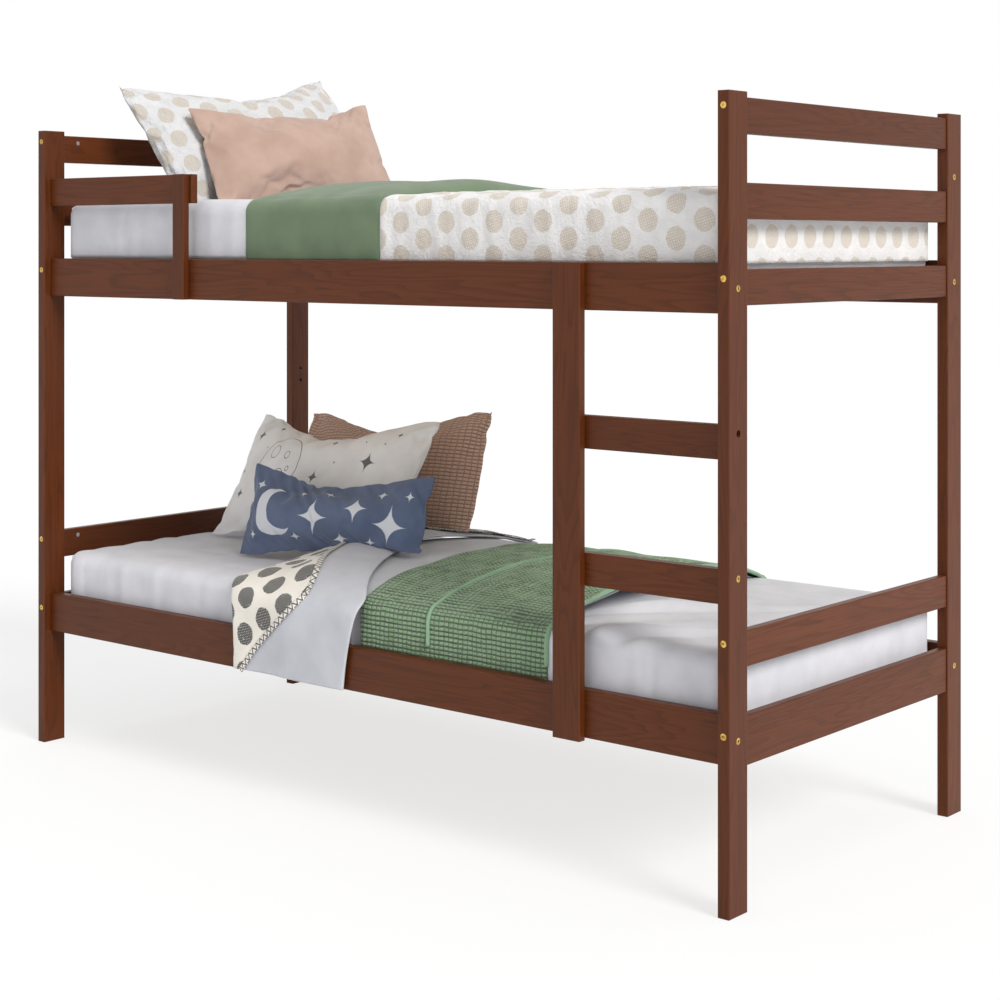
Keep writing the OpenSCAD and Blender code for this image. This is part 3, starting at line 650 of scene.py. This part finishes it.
# %% Fitted sheets
def fitted_sheet(level, seed):
    low, high = (Vector(c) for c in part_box(f"{level}_fitted_sheet"))
    grow = 0.0012

    def lift(points, out):
        x, y, z = points.T
        top = smooth(out[:, 2], 0.3, 0.95)
        side = 1 - top
        long_wrinkles = ripple(x, y, 0.16, seed, 0.5 * math.pi, 0.25) * 0.0022
        pulls = np.abs(ripple(x, y, 0.13, seed + 1, 0.0, 0.2)) ** 3 * 0.0012
        pulls += ripple(x, y, 0.06, seed + 2) * 0.0004
        slant = ripple(x, y, 0.15, seed + 3, 2.35, 0.22)
        dented = smooth(x, 0.46, 0.62) * smooth(x, 0.95, 0.80) * smooth(y, 0.30, -0.1)
        folds = (np.abs(slant) ** 1.5 * 0.010) * dented if level == "lower" else 0.0
        head = smooth(x, -0.2, -0.5) * 0.7 + 0.3
        return grow + top * (np.abs(long_wrinkles) * head + folds) + side * np.minimum(pulls, 0.002)

    piece = wrapped_cover(f"{level}_sheet", low, high, high.z - low.z - 0.01, 0.028, 0.008, lift, SHEET)
    thicken(piece, 0.0008, -1)
    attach(piece, f"{level}_bedding")
    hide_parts(f"{level}_fitted_sheet")
    return piece


upper_sheet = fitted_sheet("upper", 11)
lower_sheet = fitted_sheet("lower", 23)
print("sheets have", len(upper_sheet.data.vertices), "points each")

# %% [markdown]
# ## The dotted quilt and its turned-down end
# The upper quilt is tucked in along both sides and at the foot. Its crinkled cotton puffs up in small
# cushions between rows of stitches. The head end is turned back, so its sage green reverse shows, and two
# layers of filling make that band stand higher, with a rounded fold at each end.

# %% Upper quilt
quilt_low, quilt_high = (Vector(c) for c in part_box("upper_duvet"))
sheet_low, sheet_high = (Vector(c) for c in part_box("upper_fitted_sheet"))
BAND_END = 0.092


def quilt_lift(points, out):
    x, y, z = points.T
    top = smooth(out[:, 2], 0.3, 0.95)
    rise = crown(y, 0.37) * 0.013 * smooth(x, BAND_END, BAND_END + 0.08) * top
    puffs = ripple(x, y, 0.075, 41) * 0.0016 + ripple(x, y, 0.034, 42) * 0.0008
    pulls = ripple(x, z, 0.055, 43, 0.0, 0.3) * 0.0007 * (1 - top)
    lip = np.sqrt(np.clip((x - BAND_END) / 0.012, 0, 1)) * 0.0035 - 0.0035
    ends = smooth(x, quilt_high.x + 0.01, quilt_high.x - 0.06)
    return 0.0032 + rise * (0.4 + 0.6 * ends) + puffs * (0.35 + 0.65 * top) + pulls + lip


top_z = sheet_high.z + 0.0005
half = sheet_high.y + 0.0006
quilt = wrapped_cover("dotted_quilt", Vector((BAND_END, -half, top_z)), Vector((sheet_high.x + 0.0006, half, top_z)),
                      0.134, 0.028, 0.006, quilt_lift, DOTTED, ("head",))
thicken(quilt, 0.003, -1)
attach(quilt, "upper_bedding")
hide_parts("upper_duvet")


# %% Turned-down sage band
def band_lift(points, out):
    x, y, z = points.T
    top = smooth(out[:, 2], 0.3, 0.95)
    left, right = x - quilt_low.x, BAND_END + 0.004 - x
    edge = np.sqrt(np.clip(1 - (1 - np.clip(np.minimum(left, right) / 0.022, 0, 1)) ** 2, 0, 1))
    body = np.sqrt(np.clip(1 - (1 - np.clip(np.minimum(left * 1.2, right) / 0.10, 0, 1)) ** 2, 0, 1))
    rise = crown(y, 0.365, 0.75) * top * (0.030 * body + 0.012)
    soft = ripple(x, y, 0.22, 51) * 0.0022 * top + ripple(x, z, 0.09, 52) * 0.0006
    return (0.0042 + rise + soft) * edge + 0.0004


band = wrapped_cover("sage_turn_down", Vector((quilt_low.x, -half, top_z)), Vector((BAND_END + 0.004, half, top_z)),
                     0.134, 0.028, 0.006, band_lift, SAGE, ("head", "foot"))
thicken(band, 0.003, -1)
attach(band, "upper_bedding")
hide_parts("upper_duvet")

# %% [markdown]
# ## The lower duvet
# The grey duvet lies crowned under the throw. Its head corner is pulled forwards over the rail and turned
# back, so a strip of the dotted reverse shows along the edge, bordered by a zigzag braid. The flap follows a
# few stations from its hem, in front of the rail, up over the mattress's edge and on to the back. A station
# says where the edge, the braid and the crease of the flap run.

# %% Lower duvet under the throw
low_sheet, high_sheet = (Vector(c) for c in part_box("lower_fitted_sheet"))
low_duvet, high_duvet = (Vector(c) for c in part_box("lower_duvet"))
low_throw, high_throw = (Vector(c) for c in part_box("green_throw"))
BED = high_sheet.z + 0.0005
FRONT = low_duvet.y + 0.0035
side_half = high_sheet.y + 0.0006


def duvet_height(x, y):
    return 0.003 + 0.050 * crown(y, 0.365) * (0.55 + 0.45 * smooth(x, -0.30, -0.16))


def duvet_lift(points, out):
    x, y, z = points.T
    top = smooth(out[:, 2], 0.3, 0.95)
    head = np.sqrt(np.clip((x + 0.27) / 0.05, 0, 1))
    soft = ripple(x, y, 0.17, 61) * 0.0022
    under_throw = smooth(x, low_throw.x + 0.01, low_throw.x + 0.04) * 0.008
    return 0.0015 + (duvet_height(x, y) + soft - under_throw) * top * head


duvet = wrapped_cover("grey_duvet", Vector((-0.27, -side_half, BED)), Vector((high_duvet.x - 0.004, side_half, BED)),
                      0.1, 0.028, 0.0085, duvet_lift, GREY, ("head", "foot"))
thicken(duvet, 0.003, -1)
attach(duvet, "lower_bedding")
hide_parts("lower_duvet")

# %% Flap, its dotted reverse and the braid
# Each station: y, z at the edge, z at the crease, then x of the edge, the braid and the crease
HEM = low_duvet.z
STATIONS = np.array([
    (FRONT, HEM + 0.001, HEM - 0.002, -0.298, -0.272, 0.028),
    (FRONT, HEM + 0.060, HEM + 0.055, -0.299, -0.225, 0.036),
    (FRONT, HEM + 0.115, HEM + 0.110, -0.303, -0.165, 0.048),
    (FRONT + 0.004, HEM + 0.160, HEM + 0.158, -0.312, -0.115, 0.062),
    (FRONT + 0.030, BED + 0.002, BED + 0.002, -0.330, -0.100, 0.062),
    (-0.350, BED + 0.004, BED + 0.022, -0.346, -0.130, 0.020),
    (-0.290, BED + 0.006, BED + 0.036, -0.354, -0.172, -0.022),
    (-0.200, BED + 0.020, BED + 0.050, -0.338, -0.215, -0.068),
    (-0.100, BED + 0.046, BED + 0.058, -0.308, -0.245, -0.104),
    (0.000, BED + 0.058, BED + 0.064, -0.280, -0.222, -0.128),
    (0.110, BED + 0.052, BED + 0.064, -0.280, -0.150, -0.128),
    (0.240, BED + 0.048, BED + 0.052, -0.276, -0.132, -0.118),
    (0.340, BED + 0.034, BED + 0.034, -0.258, -0.128, -0.116),
    (0.383, BED + 0.010, BED + 0.010, -0.240, -0.124, -0.112),
])
BRAID_AT = 0.38


def along_stations(t, column):
    """A smooth curve through one column of the stations."""
    values = STATIONS[:, column]
    place = t * (len(values) - 1)
    i = np.clip(place.astype(int), 0, len(values) - 2)
    f = place - i
    near = [values[np.clip(i + k, 0, len(values) - 1)] for k in (-1, 0, 1, 2)]
    slopes = (near[2] - near[0]) / 2, (near[3] - near[1]) / 2
    return ((2 * f ** 3 - 3 * f ** 2 + 1) * near[1] + (f ** 3 - 2 * f ** 2 + f) * slopes[0]
            + (3 * f ** 2 - 2 * f ** 3) * near[2] + (f ** 3 - f ** 2) * slopes[1])


station_run = np.concatenate([[0], np.cumsum(np.linalg.norm(np.diff(STATIONS[:, :2], axis=0), axis=1))])


def flap_place(s, t, offset=0.0):
    y, edge_z, crease_z, edge_x, braid_x, crease_x = (along_stations(t, c) for c in range(6))
    across = np.where(s < BRAID_AT, edge_x + (braid_x - edge_x) * s / BRAID_AT,
                      braid_x + (crease_x - braid_x) * (s - BRAID_AT) / (1 - BRAID_AT))
    share = (across - edge_x) / np.maximum(crease_x - edge_x, 1e-6)
    on_top = smooth(y, FRONT + 0.02, FRONT + 0.08)
    bulge = np.sin(math.pi * np.clip(share, 0, 1)) * 0.016 * on_top * smooth(y, 0.36, 0.1)
    z = edge_z + (crease_z - edge_z) * smooth(share, 0, 1) + bulge
    far = smooth(y, 0.0, 0.12)
    z = z * (1 - far) + np.minimum(z, BED + duvet_height(across, y) + 0.007) * far
    fold = ripple(across, t * 0.9, 0.16, 71, 0.3, 0.5) * 0.0035
    rounding = np.sin(math.pi * np.clip(share, 0.0, 1.0)) ** 0.4
    out = offset + 0.004 * rounding + fold * (0.3 + 0.7 * rounding)
    y = y - np.abs(out) * (1 - on_top) * 0.9
    z = z + out * on_top
    run = np.interp(t * (len(STATIONS) - 1), range(len(STATIONS)), station_run)
    return np.stack([across, y, z], 1), np.stack([across, run], 1)


flap = cloth_grid("grey_duvet_flap", 60, 130, flap_place, GREY)
thicken(flap, 0.0025, 1, 0)
strip = cloth_grid("dotted_reverse", 34, 130, lambda s, t: flap_place(s * BRAID_AT, t, 0.0045), DOTTED_BLACK)
thicken(strip, 0.002, 1, 0)


def braid_material():
    finish = Finish("zigzag_braid", 0.85, Sheen_Weight=0.2)
    u, v, _ = finish.axes(finish.place("UV"))
    teeth = ((v / 0.011).fraction() - 0.5).absolute() * 2
    line = (u / 0.012 - teeth).absolute().ramp(0.26, 0.16)
    dashes = ((v / 0.0055).fraction() - 0.5).absolute().ramp(0.18, 0.26)
    edge = (u / 0.012 - 0.5).absolute().ramp(0.40, 0.46) * dashes
    finish.use("Base Color", finish.mix(line.most(edge) * 0.9, shade_of("DED9D0"), shade_of("2B2C30")))
    finish.bump(line, 0.0015)
    return finish.material


def braid_place(s, t):
    width = 0.012
    centre, flat = flap_place(np.full_like(s, BRAID_AT), t, 0.0075)
    ahead, _ = flap_place(np.full_like(s, BRAID_AT), np.clip(t + 0.002, 0, 1), 0.0075)
    back, _ = flap_place(np.full_like(s, BRAID_AT), np.clip(t - 0.002, 0, 1), 0.0075)
    run = ahead - back
    on_top = smooth(centre[:, 1], FRONT + 0.01, FRONT + 0.06)[:, None]
    face = np.array([[0, -1, 0]]) * (1 - on_top) + np.array([[0, 0, 1]]) * on_top
    sideways = np.cross(run, face)
    sideways /= np.maximum(np.linalg.norm(sideways, axis=1, keepdims=True), 1e-9)
    teeth = np.sin(flat[:, 1] * 2 * math.pi / 0.011) * 0.0015 * (s > 0.9)
    return centre + sideways * ((s - 0.35) * width + teeth)[:, None], np.stack([s * width, flat[:, 1]], 1)


braid = cloth_grid("zigzag_braid", 5, 520, braid_place, braid_material())
thicken(braid, 0.0016, 1)
flap_widths = STATIONS[:, 5] - STATIONS[:, 3]
flap_cut = (float(flap_widths.max()), float(station_run[-1]))
for piece, cut in ((flap, flap_cut), (strip, (0.13, flap_cut[1])), (braid, None)):
    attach(piece, "lower_bedding")
    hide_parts("lower_duvet")

# %% [markdown]
# ## The green throw
# The throw lies across the lower bed, tucked in front and back. Rows of stitches run along the bed and pucker
# the cotton into cells of about 12 by 9 millimetres, which wander a little. The cells are real relief in the
# mesh. Mint piping runs along a join in the throw and along its foot edge.

# %% Throw with real puckers
THROW_X = (low_throw.x, high_throw.x)


def pucker(u, v, cell, seed):
    """Height from 0 in the stitched grooves to 1 on the cells, on flat places u and v."""
    sway = ripple(u, v, 0.06, seed) * 0.0016
    rows = np.abs(np.sin(math.pi * (v + sway * 0.6) / cell[1]))
    columns = np.abs(np.sin(math.pi * (u + sway) / cell[0]))
    return np.minimum(rows ** 0.55, 1) * (0.35 + 0.65 * columns ** 0.5)


def throw_lift(points, out):
    x, y, z = points.T
    top = smooth(out[:, 2], 0.3, 0.95)
    v = np.where(out[:, 2] > 0.3, y, np.sign(y) * (np.abs(y) + (BED - z)))
    cells = pucker(x, v, THROW_CELL, 81) * 0.0042
    ends = np.sqrt(np.clip(np.minimum(x - THROW_X[0], THROW_X[1] - x) / 0.008, 0, 1))
    soft = ripple(x, y, 0.2, 82) * 0.002
    rise = (duvet_height(x, y) + soft + 0.001) * top
    return 0.0022 + rise + (cells + 0.002) * ends


throw = wrapped_cover("green_throw_cloth", Vector((THROW_X[0], -side_half, BED)), Vector((THROW_X[1], side_half, BED)),
                      0.1, 0.028, 0.0034, throw_lift, THROW, ("head", "foot"))


def piping(name, x, height, radius):
    """A round cord in its casing, across the bed at x, on top of the throw."""
    count = 150
    y = np.linspace(-side_half - 0.06, side_half + 0.06, count)
    flat_y = np.clip(y, -side_half + 0.028, side_half - 0.028)
    shape = bmesh.new()
    bmesh.ops.create_cone(shape, cap_ends=True, segments=12, radius1=radius, radius2=radius, depth=1)
    rungs = [e for e in shape.edges if abs(e.verts[0].co.z - e.verts[1].co.z) > 0.5]
    bmesh.ops.subdivide_edges(shape, edges=rungs, cuts=count - 2, use_grid_fill=False)
    piece = finish_piece(name, shape, MINT)
    local = points_of(piece.data)
    t = local[:, 2] + 0.5
    total = 2 * side_half + 0.12
    s = (t - 0.5) * total
    reach = np.abs(s)
    flat_half, bend = side_half - 0.028, 0.028 * math.pi / 2
    angle = np.clip((reach - flat_half) / 0.028, 0, math.pi / 2)
    yy = np.where(reach < flat_half, reach, flat_half + 0.028 * np.sin(angle))
    zz = BED - 0.028 * (1 - np.cos(angle)) - np.maximum(reach - flat_half - bend, 0)
    normal_y, normal_z = np.sin(angle) * np.sign(s), np.cos(angle)
    yy = yy * np.sign(s)
    top = smooth(normal_z, 0.3, 0.95)
    lift = height + (duvet_height(np.full_like(yy, x), yy) + ripple(np.full_like(yy, x), yy, 0.2, 82) * 0.002) * top
    offset = lift + local[:, 1]
    points = np.stack([x + local[:, 0], yy + normal_y * offset, zz + normal_z * offset], 1)
    set_points(piece.data, points)
    set_flat_map(piece.data, np.stack([local[:, 0], s], 1))
    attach(piece, "lower_bedding")
    return piece


join_piping = piping("throw_join_piping", 0.234, 0.0085, 0.0042)
edge_piping = piping("throw_edge_piping", THROW_X[1] - 0.002, 0.0045, 0.0045)
thicken(throw, 0.002, -1)
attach(throw, "lower_bedding")
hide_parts("green_throw")

# %% [markdown]
# ## Pillows and cushions
# A pillow is two flat pieces of cloth sewn together round the rim and then filled, and that is how these are
# made: two grids share one rim, and cloth simulation blows them up. The seams pull in between the corners and
# wrinkle by themselves. The filled shape is then brought to the pillow's size, leaned back as its solid in the
# frame leans, and flattened where it stands on the bed.


# %% Sewing and filling
def filled_pillow(name, size, segments, seed, material, slack=0.075, pressure=3.4, frames=24):
    """A simulated pillow that lies flat: width along x, height along z and thickness along y."""
    width, height, thickness = size
    columns = segments
    rows = max(8, round(segments * height / width))
    shape = bmesh.new()
    for side in (1, -1):
        made = bmesh.ops.create_grid(shape, x_segments=columns, y_segments=rows, size=0.5)["verts"]
        bmesh.ops.scale(shape, vec=(width, height, 1), verts=made)
        for vert in made:
            u, v = 2 * vert.co.x / width, 2 * vert.co.y / height
            vert.co.z = side * 0.10 * thickness * max(0, (1 - u * u) * (1 - v * v)) ** 0.5
        if side < 0:
            bmesh.ops.reverse_faces(shape, faces=list({f for v in made for f in v.link_faces}))
    bmesh.ops.remove_doubles(shape, verts=shape.verts, dist=1e-5)
    piece = finish_piece(name, shape, material)
    mesh = piece.data
    start = points_of(mesh)
    set_flat_map(mesh, start[:, :2])
    jitter = ripple(start[:, 0], start[:, 1], 0.05, seed) * 0.0012
    set_points(mesh, start + np.stack([jitter * 0, jitter * 0, jitter * np.sign(start[:, 2])], 1))
    cloth = piece.modifiers.new("filling", "CLOTH")
    cloth.settings.quality = 6
    cloth.settings.mass = 0.25
    cloth.settings.tension_stiffness = 22
    cloth.settings.compression_stiffness = 22
    cloth.settings.shear_stiffness = 8
    cloth.settings.bending_stiffness = 0.35
    cloth.settings.use_pressure = True
    cloth.settings.uniform_pressure_force = pressure
    cloth.settings.effector_weights.gravity = 0
    corners = piece.vertex_groups.new(name="corners")
    reach = np.abs(start[:, 0]) / width + np.abs(start[:, 1]) / height
    corners.add([int(i) for i in np.flatnonzero(reach > 0.985)], 1.0, "REPLACE")
    cloth.settings.vertex_group_mass = "corners"
    cloth.settings.shrink_min = -slack
    cloth.collision_settings.use_collision = False
    cloth.point_cache.frame_start = 1
    cloth.point_cache.frame_end = frames
    for step in range(1, frames + 1):
        bpy.context.scene.frame_set(step)
    filled = piece.evaluated_get(bpy.context.evaluated_depsgraph_get())
    grown = np.empty(len(mesh.vertices) * 3)
    filled.data.vertices.foreach_get("co", grown)
    piece.modifiers.clear()
    set_points(mesh, grown.reshape(-1, 3))
    bpy.context.scene.frame_set(1)
    points = points_of(mesh)
    points -= (points.max(0) + points.min(0)) / 2
    spread = points.max(0) - points.min(0)
    points *= np.array([width, height, thickness]) / spread
    set_points(mesh, np.stack([points[:, 0], -points[:, 2], points[:, 1]], 1))
    return piece


def stand(piece, node, body, pose, rest, back_flat=1.0, drop=0.0):
    """Leans a pillow as its solid leans and sets it down on the surface whose height rest gives."""
    low, high = (np.array(c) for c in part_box(node))
    turn, lean, roll = (math.radians(a) for a in pose)
    turned = Matrix.Rotation(turn, 3, "Z") @ Matrix.Rotation(-lean, 3, "X") @ Matrix.Rotation(roll, 3, "Y")
    points = points_of(piece.data)
    points[:, 1] = np.where(points[:, 1] > 0, points[:, 1] * back_flat, points[:, 1])
    points[:, 2] -= drop
    points = points @ np.array(turned).T + (low + high) / 2
    under = rest(points[:, 0], points[:, 1])
    below = under + 0.014 - points[:, 2]
    points[:, 2] = np.where(below > 0, under + 0.014 * np.exp(-below / 0.014), points[:, 2])
    set_points(piece.data, points)
    rounder = piece.modifiers.new("rounding", "SUBSURF")
    rounder.levels = 1
    rounder.render_levels = 1
    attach(piece, body)
    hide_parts(node)


# %% Upper pillows
def upper_rest(x, y):
    return np.full_like(x, sheet_high.z + 0.002)

dotted = filled_pillow("dotted_pillow_cover", (0.715, 0.385, 0.150), 84, 3, DOTTED_PILLOW_SHADED)
stand(dotted, "dotted_pillow", "dotted_pillow", (88.2, 34, -6), upper_rest, drop=0.022)
peach = filled_pillow("peach_cushion_cover", (0.522, 0.300, 0.115), 72, 5, PEACH)
stand(peach, "peach_cushion", "peach_cushion", (76, 26, -3.7), upper_rest, 0.75, drop=0.022)

# %% Lower pillows
def lower_rest(x, y):
    return BED + 0.002 + (duvet_height(x, y) + 0.014) * smooth(x, -0.36, -0.25)

rose = filled_pillow("rose_pillow_cover", (0.672, 0.325, 0.130), 96, 7, ROSE)
stand(rose, "waffle_pillow", "waffle_pillow", (-5.7, 20, -4), lower_rest)
moon = filled_pillow("moon_pillow_cover", (0.696, 0.350, 0.125), 84, 9, MOON)
stand(moon, "moon_pillow", "moon_pillow", (-8.6, 31, -2.3), lower_rest)
navy = filled_pillow("navy_cushion_cover", (0.562, 0.225, 0.090), 76, 13, NAVY)
stand(navy, "navy_cushion", "navy_cushion", (1.5, 15.5, -0.7), lower_rest, 0.8)

# %% Colour
bpy.context.scene.view_settings.view_transform = "Standard"
